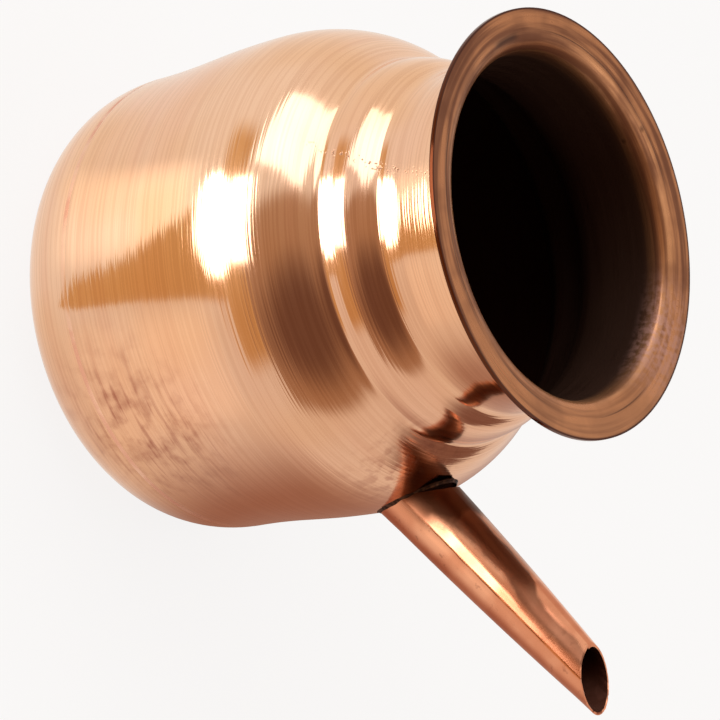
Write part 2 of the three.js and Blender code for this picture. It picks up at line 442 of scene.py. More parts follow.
@dataclass(frozen=True)
class SpunCopper(MetalFinish):
    """Copper sheet, spun on a lathe and buffed.

    The buffing leaves a mirror that is crossed by fine rings, so reflections smear up and down
    the pot. Handling has left rosy and amber bands, and a few red stains. The side towards the
    spout and the rim's edge are darkened with painted shade.
    """

    name: str = "copper_spun_buffed"
    anisotropy: float = 0.5
    fresh: str = "#F7CDAD"
    rosy: str = "#E6A78C"
    amber: str = "#EDB784"
    side_shade_tone: str = "#D99F7C"
    stain: str = "#9C5844"
    groove: str = "#B97C58"
    seam_dark: str = "#6B3B25"
    rim_shade: str = "#5A2F1C"
    roughness: float = 0.07
    ring_roughness: float = 0.10
    # Real buffing lines lie about 0.1 mm apart, too fine to show, so these are coarser.
    ring_pitch_mm: float = 0.5
    ring_arc_mm: float = 45.0
    wave_pitch_mm: float = 2.4
    band_pitch_mm: float = 7.0
    wave_arc_mm: float = 90.0
    cloud_mm: float = 30.0
    side_shade_azimuth_deg: float = -10.0
    scratched_mm: tuple[float, float, float] = (27.0, -41.0, 27.0)
    scratched_reach_mm: float = 30.0
    fluxed_mm: tuple[float, float, float] = (43.0, -15.0, 72.0)
    fluxed_reach_mm: float = 19.0
    rim_radius_mm: float = 43.35
    rim_height_mm: float = 105.0
    seam_azimuth_deg: float = -160.8
    seam_lean_deg_per_mm: float = 0.5

    def look(self, place: TurnedPlace) -> Look:
        """Lays bands, clouds, painted shade, stains and the seam over fresh copper.

        Args:
            place: Where a point lies on the pot.

        Returns:
            The look.
        """
        tree = place.tree
        rings = place.rings(self.ring_pitch_mm, self.ring_arc_mm)
        waves = place.rings(self.wave_pitch_mm, self.wave_arc_mm, 0.0)
        bands = mask(tree, (place.rings(self.band_pitch_mm, self.wave_arc_mm), 0.42, 0.66))
        clouds = mask(tree, (place.blotches(self.cloud_mm), 0.36, 0.68))
        # Painted shade: the side towards the spout is darker, for the dimmer floor that it
        # mirrors.
        side_shade = mask(tree, (place.facing(self.side_shade_azimuth_deg), -0.15, 0.6))
        grooves = mask(tree, (rings, 0.56, 0.42))
        stained = self.stain_mask(place)
        seam = self.seam_mask(place)
        # Painted shade: a dark line along the rim's outer edge.
        rim = mask(
            tree,
            (place.radius, self.rim_radius_mm * MM, (self.rim_radius_mm + 0.3) * MM),
            (place.height, self.rim_height_mm * MM, (self.rim_height_mm + 1.0) * MM),
        )
        colour = coats(
            tree,
            self.fresh,
            (bands, 0.25, self.rosy),
            (clouds, 0.5, self.amber),
            (side_shade, 0.55, self.side_shade_tone),
            (grooves, 0.16, self.groove),
            (stained, 1.0, self.stain),
            (seam, 1.0, self.seam_dark),
            (rim, 1.0, self.rim_shade),
        )
        rough = weighted(
            tree, self.roughness, (rings, self.ring_roughness), (stained, 0.15), (seam, 0.3)
        )
        relief = weighted(tree, rings, (waves, 0.9), (seam, -1.5))
        return Look(colour, rough, relief)

    def stain_mask(self, place: TurnedPlace) -> Socket:
        """Smudged red scratches on the lower side and flux stain above the spout's root.

        Args:
            place: Where a point lies on the pot.

        Returns:
            A value between nought and one.
        """
        tree = place.tree
        scratches = mask(tree, (place.rings(1.1, 11.0, 3.0), 0.5, 0.66))
        smudges = mask(tree, (place.blotches(4.0, 5.0, 0.2), 0.4, 0.76))
        marked = weighted(tree, smudges, (scratches, 0.7))
        low = place.near(self.scratched_mm, self.scratched_reach_mm)
        low = mask(tree, low, marked, share=0.66)
        mottled = (place.blotches(2.6, 3.0, 0.5), 0.44, 0.66)
        root = mask(tree, place.near(self.fluxed_mm, self.fluxed_reach_mm), mottled)
        return add_node(
            tree, Kind.MATH, root, 0.5, low, operation="MULTIPLY_ADD", use_clamp=True
        )

    def seam_mask(self, place: TurnedPlace) -> Socket:
        """Broken hairline and pits where the sheet's edges are brazed, from shoulder to neck.

        Args:
            place: Where a point lies on the pot.

        Returns:
            A value between nought and one.
        """
        tree = place.tree
        lean = math.radians(self.seam_lean_deg_per_mm) / MM
        middle = weighted(tree, math.radians(self.seam_azimuth_deg), (place.height, lean))
        away = add_node(tree, Kind.MATH, place.azimuth, middle, operation="SUBTRACT")
        wander = weighted(tree, -1.1 * MM, (place.blotches(3.0, 2.0), 2.2 * MM))
        off = weighted(tree, wander, (away, place.radius))
        off = add_node(tree, Kind.MATH, off, operation="ABSOLUTE")
        gaps = (place.blotches(1.2, 1.0, 0.7), 0.52, 0.6)
        line = mask(tree, (off, 0.14 * MM, 0.04 * MM), gaps, share=0.45)
        pits = (place.blotches(0.6, 0.0, 0.9), 0.66, 0.74)
        dots = mask(tree, (off, 1.4 * MM, 0.2 * MM), pits)
        both = add_node(tree, Kind.MATH, line, dots, operation="MAXIMUM")
        return mask(tree, both, (place.height, 72.0 * MM, 86.0 * MM), share=0.7)


@dataclass(frozen=True)
class TarnishedCopper(MetalFinish):
    """Copper that was never buffed: dull, brown and streaked round the pot."""

    name: str = "copper_tarnished_inside"
    metallic: float = 0.7
    relief_mm: float = 0.03
    warm: str = "#C48A5E"
    dark: str = "#6E4028"
    mauve: str = "#C4978C"
    worn: str = "#E3A878"
    depth_shade: str = "#40281C"
    rim_shade: str = "#4A2415"
    # Dark tone of the fold line and of the lip's marks; in the dent it is painted shade.
    scale: str = "#3A1D10"
    roughness: float = 0.26
    inner_roughness: float = 0.34
    lip_height_mm: float = 109.3
    throat_height_mm: float = 104.0
    poured_azimuth_deg: float = 14.0
    mauve_mm: tuple[float, float, float] = (24.0, 27.0, 108.0)
    mauve_reach_mm: float = 19.0
    fold_radius_mm: float = 39.4
    rim_radius_mm: float = 43.35
    dent_azimuth_deg: float = 196.0
    dent_radius_mm: float = 38.5
    nicks_mm: tuple[tuple[tuple[float, float, float], float], ...] = (
        ((-19.4, 33.6, 109.6), 1.1),
        ((-17.2, 30.6, 106.5), 0.9),
    )

    def look(self, place: TurnedPlace) -> Look:
        """Makes the lip brightest and the belly nearly black with painted shade.

        Args:
            place: Where a point lies on the pot.

        Returns:
            The look.
        """
        tree = place.tree
        streaks = mask(tree, (place.rings(1.5, 30.0, 3.0), 0.38, 0.62))
        clouds = mask(tree, (place.blotches(11.0, 3.0, 0.3), 0.4, 0.66))
        poured = mask(tree, (place.facing(self.poured_azimuth_deg), 0.55, 0.95))
        lip = coats(
            tree,
            self.warm,
            (streaks, 0.85, self.dark),
            (clouds, 0.5, self.dark),
            (poured, 0.28, self.worn),
        )
        # Tarnish with painted shade: below the throat the inside fades to nearly black.
        up = mask(
            tree, (place.height, self.throat_height_mm * MM, self.lip_height_mm * MM)
        )
        mauve = mask(
            tree,
            (place.blotches(1.3, 4.0, 0.6), 0.34, 0.66),
            place.near(self.mauve_mm, self.mauve_reach_mm),
            (place.height, 103.0 * MM, 107.5 * MM),
        )
        fold = mask(
            tree, place.ring(self.fold_radius_mm, 0.25), (place.rings(2.0, 30.0), 0.4, 0.55)
        )
        marks = self.mark_mask(place)
        # Painted shade: a dark line along the rim's edge.
        rim = (place.radius, self.rim_radius_mm * MM, (self.rim_radius_mm + 0.35) * MM)
        colour = coats(
            tree,
            self.depth_shade,
            (up, 1.0, lip),
            (mauve, 0.75, self.mauve),
            (fold, 0.7, self.scale),
            (marks, 0.75, self.scale),
            (mask(tree, rim), 1.0, self.rim_shade),
        )
        rough = weighted(
            tree,
            self.roughness + self.inner_roughness,
            (streaks, 0.14),
            (clouds, 0.1),
            (mauve, 0.14),
            (up, -self.inner_roughness),
        )
        relief = weighted(tree, place.rings(0.6, 30.0, 2.0), (fold, -2.0), (marks, -3.0))
        return Look(colour, rough, relief)

    def mark_mask(self, place: TurnedPlace) -> Socket:
        """A dent and two nicks in the lip, bumped in and darkened; the dent's dark tone is
        painted shade.

        Args:
            place: Where a point lies on the pot.

        Returns:
            A value between nought and one.
        """
        tree = place.tree
        side = (
            place.facing(self.dent_azimuth_deg),
            math.cos(math.radians(8)),
            math.cos(math.radians(3)),
        )
        marks = mask(tree, side, place.ring(self.dent_radius_mm, 1.3))
        for centre, reach in self.nicks_mm:
            nick = place.near(centre, reach)
            marks = add_node(tree, Kind.MATH, marks, nick, operation="MAXIMUM")
        return marks


@dataclass(frozen=True)
class RolledCopper(MetalFinish):
    """Copper sheet rolled over a mandrel by hand and buffed: redder, glossier, gently uneven."""

    name: str = "copper_rolled_hand_buffed"
    relief_mm: float = 0.05
    fresh: str = "#F0A983"
    red: str = "#D07E5A"
    dark: str = "#6A3522"
    burnt: str = "#5A3828"
    roughness: float = 0.12
    hammer_mm: float = 7.0
    line_deg: float = 80.5

    def look(self, place: TurnedPlace) -> Look:
        """Lays red clouds, specks and flux stain over fresh copper.

        Args:
            place: Where a point lies on the pot.

        Returns:
            The look.
        """
        tree = place.tree
        along, turn = self.tube_place(place)
        clouds = mask(tree, (place.blotches(11.0, 3.0), 0.4, 0.66))
        specks = mask(tree, (place.blotches(1.8, 3.0, 0.4), 0.62, 0.75))
        burnt = self.burnt_mask(place, along, turn)
        colour = coats(
            tree,
            self.fresh,
            (clouds, 0.6, self.red),
            (specks, 0.35, self.dark),
            (burnt, 1.0, self.burnt),
            # The drawn line's dark tone is partly painted shade of the flat's crease.
            (self.drawn_line(place, turn), 0.7, self.dark),
        )
        rough = weighted(tree, self.roughness, (clouds, 0.06), (burnt, 0.24))
        grit = mask(tree, place.blotches(1.0, 2.0, 0.8), burnt)
        relief = weighted(tree, place.blotches(self.hammer_mm, 0.0), (grit, 0.5))
        return Look(colour, rough, relief)

    @staticmethod
    def tube_place(place: TurnedPlace) -> tuple[Socket, Socket]:
        """Says where a point lies on the spout.

        Args:
            place: The point's place on the pot.

        Returns:
            Distance along the spout in metres, and the angle from its top towards -Y.
        """
        tree = place.tree
        axis = SpoutAxis()
        out = add_node(
            tree, Kind.VECTOR, place.position, axis.point(0.0), operation="SUBTRACT"
        )
        along, up = (
            add_node(tree, Kind.VECTOR, out, way, operation="DOT_PRODUCT")
            for way in (axis.along, axis.top)
        )
        aside = add_node(tree, Kind.MATH, place.aside, -1.0, operation="MULTIPLY")
        return along, add_node(tree, Kind.MATH, aside, up, operation="ARCTAN2")

    def burnt_mask(self, place: TurnedPlace, along: Socket, turn: Socket) -> Socket:
        """Brown flux stain along the lapped seam and round the root.

        Args:
            place: The point's place on the pot.
            along: Distance along the spout.
            turn: Angle round the spout from its top.

        Returns:
            A value between nought and one.
        """
        tree = place.tree
        uneven = place.blotches(6.0, 3.0, 0.9)
        uneven = add_node(tree, Kind.MATH, uneven, 0.5, operation="SUBTRACT")
        # The band follows the seam, and near the mouth it turns aside, narrows and pales.
        late = mask(tree, (along, 95.0 * MM, 102.0 * MM))
        middle = weighted(tree, math.radians(24), (late, math.radians(20)))
        off = add_node(tree, Kind.MATH, turn, middle, operation="SUBTRACT")
        off = add_node(tree, Kind.MATH, off, operation="ABSOLUTE")
        off = weighted(tree, off, (late, math.radians(9)), (uneven, 0.35))
        band = mask(tree, (off, math.radians(32), math.radians(20)))
        # A thinner film lies over the side that faces +Y, as far as the torch reached.
        reach = weighted(tree, along, (uneven, 20.0 * MM))
        film = mask(
            tree,
            (turn, math.radians(20), math.radians(-4)),
            (reach, 101.0 * MM, 94.0 * MM),
            share=0.5,
        )
        band = add_node(tree, Kind.MATH, band, film, operation="MAXIMUM")
        band = mask(tree, band, weighted(tree, 1.0, (late, -0.22)), share=0.9)
        # Round the root it fades out on the way down the side that faces -Y.
        reach = weighted(tree, place.radius, (uneven, 8.0 * MM))
        front = (turn, math.radians(105), math.radians(62))
        root = mask(tree, (reach, 59.5 * MM, 53.0 * MM), front)
        return add_node(tree, Kind.MATH, band, root, operation="MAXIMUM")

    def drawn_line(self, place: TurnedPlace, turn: Socket) -> Socket:
        """A fine broken line that the mandrel's edge left along the spout, at the flat's crease.
        Its dark tone is partly painted shade of that crease.

        Args:
            place: The point's place on the pot.
            turn: Angle round the spout from its top.

        Returns:
            A value between nought and one.
        """
        tree = place.tree
        wander = weighted(
            tree,
            -0.06 - math.radians(self.line_deg),
            (place.blotches(5.0, 2.0, 0.1), 0.12),
        )
        off = add_node(tree, Kind.MATH, turn, wander, operation="ADD")
        off = add_node(tree, Kind.MATH, off, operation="ABSOLUTE")
        broken = (place.blotches(6.0, 1.0), 0.4, 0.5)
        return mask(tree, (off, math.radians(1.5), math.radians(0.4)), broken)


@dataclass(frozen=True)
class BrazeMetal(MetalFinish):
    """Brass filler: as it ran, under a film of dark flux, or buffed down with the sheet."""

    name: str = "braze_flux_stained"
    metal: str = "#5C3D2C"
    flux: str = "#35221A"
    roughness: float = 0.42
    grain_mm: float = 1.2

    def look(self, place: TurnedPlace) -> Look:
        """Spreads the film unevenly over the metal.

        Args:
            place: Where a point lies on the pot.

        Returns:
            The look.
        """
        tree = place.tree
        film = mask(tree, (place.blotches(self.grain_mm, 3.0), 0.36, 0.6))
        colour = coats(tree, self.metal, (film, 1.0, self.flux))
        rough = weighted(tree, self.roughness, (film, 0.2))
        return Look(colour, rough, place.blotches(self.grain_mm / 2, 2.0))


# Handwork that several pieces share


def select_only(piece: Piece) -> None:
    """Leaves one object selected and active.

    Args:
        piece: The object.
    """
    bpy.ops.object.select_all(action="DESELECT")
    piece.select_set(True)
    bpy.context.view_layer.objects.active = piece


@contextmanager
def editing(piece: Piece) -> Iterator[bmesh.types.BMesh]:
    """Opens a piece in edit mode and leaves it in object mode.

    Args:
        piece: The object to edit.

    Yields:
        The mesh under the edit operators, for reading places and selecting.
    """
    select_only(piece)
    bpy.ops.object.mode_set(mode="EDIT")
    bpy.ops.mesh.select_mode(type="VERT")
    try:
        yield bmesh.from_edit_mesh(piece.data)
    finally:
        bpy.ops.object.mode_set(mode="OBJECT")


def select_where(piece: Piece, test: Callable[[Vector], bool]) -> None:
    """Selects in edit mode the vertices whose place passes a test.

    Args:
        piece: The object in edit mode.
        test: Says whether a vertex at a place is taken.
    """
    mesh = bmesh.from_edit_mesh(piece.data)
    bpy.ops.mesh.select_all(action="DESELECT")
    for vertex in mesh.verts:
        vertex.select = test(piece.matrix_world @ vertex.co)
    mesh.select_flush(True)
    bmesh.update_edit_mesh(piece.data)


def apply_modifier(piece: Piece, kind: str, **settings: object) -> None:
    """Adds a modifier with its settings and applies it.

    Args:
        piece: The object that it shapes.
        kind: The modifier's type.
        settings: Its properties.
    """
    select_only(piece)
    modifier = piece.modifiers.new(kind.lower(), kind)
    for name, value in settings.items():
        setattr(modifier, name, value)
    bpy.ops.object.modifier_apply(modifier=modifier.name)


def settle(piece: Piece) -> None:
    """Puts the piece's place into its mesh, with the object at the origin."""
    select_only(piece)
    bpy.ops.object.transform_apply(location=True, rotation=True, scale=True)


def smooth(piece: Piece, degrees: float = 38.0) -> None:
    """Shades smooth but for edges sharper than an angle."""
    select_only(piece)
    bpy.ops.object.shade_smooth_by_angle(angle=math.radians(degrees))


def spin_sheet(name: str, outline: Sequence[Vector], steps: int) -> Piece:
    """Draws an outline point by point and spins it round the pot's axis.

    Args:
        name: The object's name.
        outline: Points in metres, with radius as X and height as Z.
        steps: Facets round the pot.

    Returns:
        An open sheet whose faces look away from the axis at its widest.
    """
    bpy.ops.object.select_all(action="DESELECT")
    bpy.ops.mesh.primitive_plane_add(size=MM, location=(0.0, 0.0, 0.0))
    piece = bpy.context.object
    piece.name = name
    with editing(piece):
        bpy.ops.mesh.select_all(action="SELECT")
        bpy.ops.mesh.merge(type="CENTER")
        bpy.ops.transform.translate(value=outline[0])
        for start, end in zip(outline, outline[1:]):
            bpy.ops.mesh.extrude_region_move(TRANSFORM_OT_translate={"value": end - start})
        bpy.ops.mesh.select_all(action="SELECT")
        bpy.ops.mesh.spin(
            steps=steps, angle=math.tau, center=(0.0, 0.0, 0.0), axis=tuple(AXIS)
        )
        bpy.ops.mesh.select_all(action="SELECT")
        bpy.ops.mesh.remove_doubles(threshold=0.002 * MM)
    middle = Vector((0.0, 0.0, sum(corner[2] for corner in piece.bound_box) / 8))
    turn_outward(piece, lambda place: place - middle)
    return piece


def turn_outward(piece: Piece, way_out: Callable[[Vector], Vector]) -> None:
    """Makes a sheet's faces agree and turns them to the side that counts as out.

    Args:
        piece: The sheet.
        way_out: Gives the outward way at a place.
    """
    with editing(piece):
        bpy.ops.mesh.select_all(action="SELECT")
        bpy.ops.mesh.normals_make_consistent(inside=False)
    facing = sum(
        face.normal.dot(way_out(face.center)) * face.area for face in piece.data.polygons
    )
    if facing < 0:
        with editing(piece):
            bpy.ops.mesh.select_all(action="SELECT")
            bpy.ops.mesh.flip_normals()


def thicken(
    piece: Piece, wall_mm: float, outside: Material, inside: Material, even: bool = False
) -> None:
    """Gives a sheet its wall, inwards, with a finish on each side.

    Args:
        piece: The sheet.
        wall_mm: How thick the wall is.
        outside: Finish of the outer side.
        inside: Finish of the inner side.
        even: Whether the wall keeps its thickness in tight bends.
    """
    for material in (outside, inside):
        piece.data.materials.append(material)
    apply_modifier(
        piece,
        "SOLIDIFY",
        thickness=wall_mm * MM,
        offset=-1.0,
        use_even_offset=even,
        material_offset=Side.INSIDE.value,
    )


def dress(piece: Piece, node: str) -> None:
    """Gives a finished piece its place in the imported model.

    Args:
        piece: The piece.
        node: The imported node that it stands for.
    """
    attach(piece, ROOT_BODY)
    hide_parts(node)
    LOG.info("%s: %d faces, stands for %s", piece.name, len(piece.data.polygons), node)


# Outline of the pot


def ellipse_run(
    centre: Vector, across: float, rise: float, start: float, end: float, steps: int
) -> list[Vector]:
    """Points on an ellipse between two angles.

    Args:
        centre: Its middle, radius as X and height as Z.
        across: Half its width.
        rise: Half its height.
        start: First angle from the radius.
        end: Last angle.
        steps: How many steps lie between.

    Returns:
        The points.
    """
    turns = (start + (end - start) * i / steps for i in range(steps + 1))
    return [
        centre + Vector((across * math.cos(t), 0.0, rise * math.sin(t))) for t in turns
    ]


def bezier_run(
    start: Vector, pull: Vector, hold: Vector, end: Vector, steps: int
) -> list[Vector]:
    """Points on a cubic curve with two handles.

    Args:
        start: First point.
        pull: Handle of the first point.
        hold: Handle of the last point.
        end: Last point.
        steps: How many steps lie between.

    Returns:
        The points.
    """
    points = []
    for i in range(steps + 1):
        t = i / steps
        s = 1 - t
        points.append(
            start * s ** 3 + pull * (3 * s * s * t) + hold * (3 * s * t * t) + end * t ** 3
        )
    return points


def even_run(points: Sequence[Vector], spacing: float, softening: int) -> list[Vector]:
    """Spaces points evenly along a line and rounds its corners a little.

    Args:
        points: The line.
        spacing: Distance between the new points.
        softening: How many times each point moves towards its neighbours.

    Returns:
        The new points, with both ends kept.
    """
    lengths = [0.0]
    for a, b in zip(points, points[1:]):
        lengths.append(lengths[-1] + (b - a).length)
    count = max(2, round(lengths[-1] / spacing))
    result = []
    index = 0
    for i in range(count + 1):
        goal = lengths[-1] * i / count
        while index < len(points) - 2 and lengths[index + 1] < goal:
            index += 1
        span = lengths[index + 1] - lengths[index]
        share = (goal - lengths[index]) / span if span else 0.0
        result.append(points[index].lerp(points[index + 1], share))
    for _ in range(softening):
        result = (
            [result[0]]
            + [(a + b * 2 + c) / 4 for a, b, c in zip(result, result[1:], result[2:])]
            + [result[-1]]
        )
    return result


@dataclass(frozen=True)
class PotOutline:
    """The pot's outside, in millimetres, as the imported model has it."""

    seat_radius: float = 37.0
    heel_radius: float = 49.7
    heel_height: float = 18.0
    body_foot: float = 18.6
    belly_radius: float = 51.2
    belly_height: float = 53.5
    lower_crease_radius: float = 40.0
    lower_crease_height: float = 79.0
    step_radius: float = 40.3
    step_foot: float = 79.7
    step_wall_top: float = 84.4
    step_leans: tuple[float, float, float] = (4.0, 20.0, 54.0)
    upper_crease_radius: float = 36.1
    upper_crease_height: float = 89.0
    collar_radius: float = 35.75
    collar_foot: float = 89.7
    collar_top: float = 91.9
    collar_leans: tuple[float, float] = (22.0, 1.0)
    neck_radius: float = 35.2
    neck_top: float = 94.6
    neck_lean: float = -5.0
    rim_height: float = 110.3
    mouth_radius: float = 44.0
    wall: float = 0.8
    shoulder_sweep: float = 0.68
    belly_curve: float = 0.45
    lip_slopes: tuple[float, float] = (3.0, 12.0)
    lip_fold_radius: float = 39.4
    lip_bend: float = 1.1

    @staticmethod
    def at(radius: float, height: float) -> Vector:
        """A point of the outline from its radius and height in millimetres."""
        return Vector((radius, 0.0, height)) * MM

    def side(self) -> list[Vector]:
        """The outline from the body's foot to its widest place.

        Returns:
            Its points, from the lowest up.
        """
        pull = (self.belly_height - self.body_foot) * self.belly_curve
        return bezier_run(
            self.at(self.heel_radius, self.body_foot),
            self.at(self.heel_radius, self.body_foot + pull),
            self.at(self.belly_radius, self.belly_height - pull),
            self.at(self.belly_radius, self.belly_height),
            24,
        )

    def shoulder(self) -> list[Vector]:
        """The outline from the widest place to the lower crease.

        Returns:
            Its points, from the lowest up.
        """
        sweep = self.shoulder_sweep * math.pi / 2
        across = (self.belly_radius - self.lower_crease_radius) / (1 - math.cos(sweep))
        rise = (self.lower_crease_height - self.belly_height) / math.sin(sweep)
        centre = self.at(self.belly_radius - across, self.belly_height)
        return ellipse_run(centre, across * MM, rise * MM, 0.0, sweep, 40)

    @staticmethod
    def leaning(start: Vector, start_lean: float, end: Vector, end_lean: float) -> list[Vector]:
        """A run that leaves and arrives at given leans.

        Args:
            start: First point.
            start_lean: Degrees that the sheet leans inward from upright there.
            end: Last point.
            end_lean: The same at the end.

        Returns:
            The points.
        """
        reach = (end - start).length * 0.36
        first, last = (
            Vector((-math.sin(math.radians(lean)), 0.0, math.cos(math.radians(lean)))) * reach
            for lean in (start_lean, end_lean)
        )
        return bezier_run(start, start + first, end - last, end, 16)

    def wall_top(self, foot: Vector, height: float, leans: Sequence[float]) -> Vector:
        """Top of a low wall that bends from one lean to another.

        Args:
            foot: The wall's lowest point.
            height: Height of its top, in millimetres.
            leans: Lean in degrees at the foot and at the top.

        Returns:
            The point.
        """
        rise = height * MM - foot.z
        mean = math.radians((leans[0] + leans[1]) / 2)
        return Vector((foot.x - rise * math.tan(mean), 0.0, foot.z + rise))

    def step(self) -> list[Vector]:
        """The step: nearly upright from the lower crease, then rolled in.

        Returns:
            Its points, from the lowest up.
        """
        leans = self.step_leans
        foot = self.at(self.step_radius, self.step_foot)
        top = self.wall_top(foot, self.step_wall_top, leans)
        crease = self.at(self.upper_crease_radius, self.upper_crease_height)
        return self.leaning(foot, leans[0], top, leans[1]) + self.leaning(
            top, leans[1], crease, leans[2]
        )

    def neck(self) -> list[Vector]:
        """The neck, from its tapering foot to the lip.

        Returns:
            Its points, from the lowest up.
        """
        leans = self.collar_leans
        foot = self.at(self.collar_radius, self.collar_foot)
        top = self.wall_top(foot, self.collar_top, leans)
        neck = self.at(self.neck_radius, self.neck_top)
        return self.leaning(foot, leans[0], top, leans[1]) + self.leaning(
            top, leans[1], neck, self.neck_lean
        )

    def lip(self) -> list[Vector]:
        """The outline from the neck round the tight bend and out along the lip.

        Returns:
            Its points, from the lowest up.
        """
        outer_slope, inner_slope = (math.tan(math.radians(s)) for s in self.lip_slopes)
        lean = math.tan(math.radians(-self.neck_lean))
        edge_radius = self.mouth_radius - 0.02
        edge_height = self.rim_height - self.wall
        fold_height = edge_height - (edge_radius - self.lip_fold_radius) * outer_slope
        rise = fold_height - self.lip_fold_radius * inner_slope - self.neck_top
        radius = (self.neck_radius + rise * lean) / (1 - inner_slope * lean)
        height = fold_height - (self.lip_fold_radius - radius) * inner_slope
        neck = self.at(self.neck_radius, self.neck_top)
        corner = self.at(radius, height)
        fold = self.at(self.lip_fold_radius, fold_height)
        below = corner + (neck - corner).normalized() * self.lip_bend * MM
        beyond = corner + (fold - corner).normalized() * self.lip_bend * MM
        bend = bezier_run(below, below.lerp(corner, 0.6), beyond.lerp(corner, 0.6), beyond, 10)
        return [neck] + bend + [fold, self.at(edge_radius, edge_height)]

    def body(self, spacing_mm: float) -> list[Vector]:
        """The whole body's outline, evenly spaced, with its creases softened.

        Args:
            spacing_mm: Distance between points.

        Returns:
            Points from foot to rim.
        """
        runs = [self.side(), self.shoulder(), self.step(), self.neck(), self.lip()]
        points = [point for run in runs for point in run]
        return even_run(points, spacing_mm * MM, 3)

    def pan(self, spacing_mm: float) -> list[Vector]:
        """The base pan's outline, from the middle of its seat over the heel to its rim.

        Args:
            spacing_mm: Distance between points.

        Returns:
            The points.
        """
        corner = self.heel_radius - self.seat_radius
        seat = [self.at(0.0, 0.0), self.at(self.seat_radius, 0.0)]
        heel = ellipse_run(
            self.at(self.seat_radius, self.heel_height),
            corner * MM,
            self.heel_height * MM,
            -math.pi / 2,
            0.0,
            30,
        )
        return even_run(seat, 4 * MM, 0)[:-1] + even_run(heel, spacing_mm * MM, 0)


# Sub-assemblies


@dataclass
class BodyShell:
    """One spun sheet: belly, shoulder, a step between two creases, neck and flared lip."""

    outline: PotOutline
    axis: SpoutAxis
    steps: int = 208
    spacing_mm: float = 0.7
    rim_round_mm: float = 0.22
    hole_gap: float = 0.3
    hole_start: float = 45.0
    hole_end: float = 85.0

    def build(self, outside: Material, inside: Material) -> Piece:
        """Models and dresses the shell.

        Args:
            outside: Buffed copper.
            inside: Tarnished copper.

        Returns:
            The finished piece.
        """
        piece = spin_sheet("body_shell_spun", self.outline.body(self.spacing_mm), self.steps)
        thicken(piece, self.outline.wall, outside, inside, even=True)
        self.cut_hole(piece)
        apply_modifier(
            piece,
            "BEVEL",
            width=self.rim_round_mm * MM,
            segments=2,
            limit_method="ANGLE",
            angle_limit=math.radians(60),
        )
        smooth(piece)
        dress(piece, "body_shell")
        return piece

    def cut_hole(self, piece: Piece) -> None:
        """Cuts the hole that the spout's root passes through.

        Args:
            piece: The shell.
        """
        axis = self.axis
        bpy.ops.object.select_all(action="DESELECT")
        bpy.ops.mesh.primitive_cone_add(
            vertices=96,
            radius1=(axis.radius(self.hole_start) + self.hole_gap) * MM,
            radius2=(axis.radius(self.hole_end) + self.hole_gap) * MM,
            depth=(self.hole_end - self.hole_start) * MM,
            location=axis.point((self.hole_start + self.hole_end) / 2),
            rotation=axis.rotation,
        )
        cutter = bpy.context.object
        settle(cutter)
        apply_modifier(piece, "BOOLEAN", operation="DIFFERENCE", object=cutter, solver="EXACT")
        bpy.data.objects.remove(cutter)


@dataclass
class BasePan:
    """The spun bottom, with a rounded heel and a rim that is joggled in under the body."""

    outline: PotOutline
    steps: int = 208
    spacing_mm: float = 0.8
    lap_gap_mm: float = 0.3
    lap_height_mm: float = 5.0

    def build(self, outside: Material, inside: Material) -> Piece:
        """Models and dresses the pan.

        Args:
            outside: Buffed copper.
            inside: Tarnished copper.

        Returns:
            The finished piece.
        """
        outline = self.outline
        lap_radius = outline.heel_radius - outline.wall - self.lap_gap_mm
        rim = [
            outline.at(outline.heel_radius - 0.2, outline.heel_height + 0.05),
            outline.at(lap_radius, outline.heel_height + 0.25),
            outline.at(lap_radius, outline.heel_height + 1.5),
            outline.at(lap_radius, outline.heel_height + self.lap_height_mm),
        ]
        piece = spin_sheet("base_pan_spun", outline.pan(self.spacing_mm) + rim, self.steps)
        thicken(piece, outline.wall, outside, inside)
        smooth(piece)
        dress(piece, "base_pan")
        return piece


@dataclass
class HeelBraze:
    """The thin line of braze in the joint round the heel."""

    outline: PotOutline
    steps: int = 208
    spread_mm: float = 0.45
    swell_mm: float = 0.35
    proud_mm: float = 0.016

    def build(self, finish: Material) -> Piece:
        """Models and dresses the braze line.

        Args:
            finish: Buffed braze.

        Returns:
            The finished piece.
        """
        outline = self.outline
        low = outline.heel_height - self.spread_mm
        high = outline.body_foot + self.spread_mm
        outer = outline.heel_radius
        inner = outline.heel_radius - outline.wall
        section = [
            outline.at(inner, low),
            outline.at(outer - 0.02, low),
            outline.at(outer + 0.01, low + self.swell_mm),
            outline.at(outer + self.proud_mm, (low + high) / 2),
            outline.at(outer + 0.01, high - self.swell_mm),
            outline.at(outer - 0.02, high),
            outline.at(inner, high),
            outline.at(inner, low),
        ]
        piece = spin_sheet("heel_braze_line", section, self.steps)
        piece.data.materials.append(finish)
        smooth(piece, 60.0)
        dress(piece, "heel_solder")
        return piece


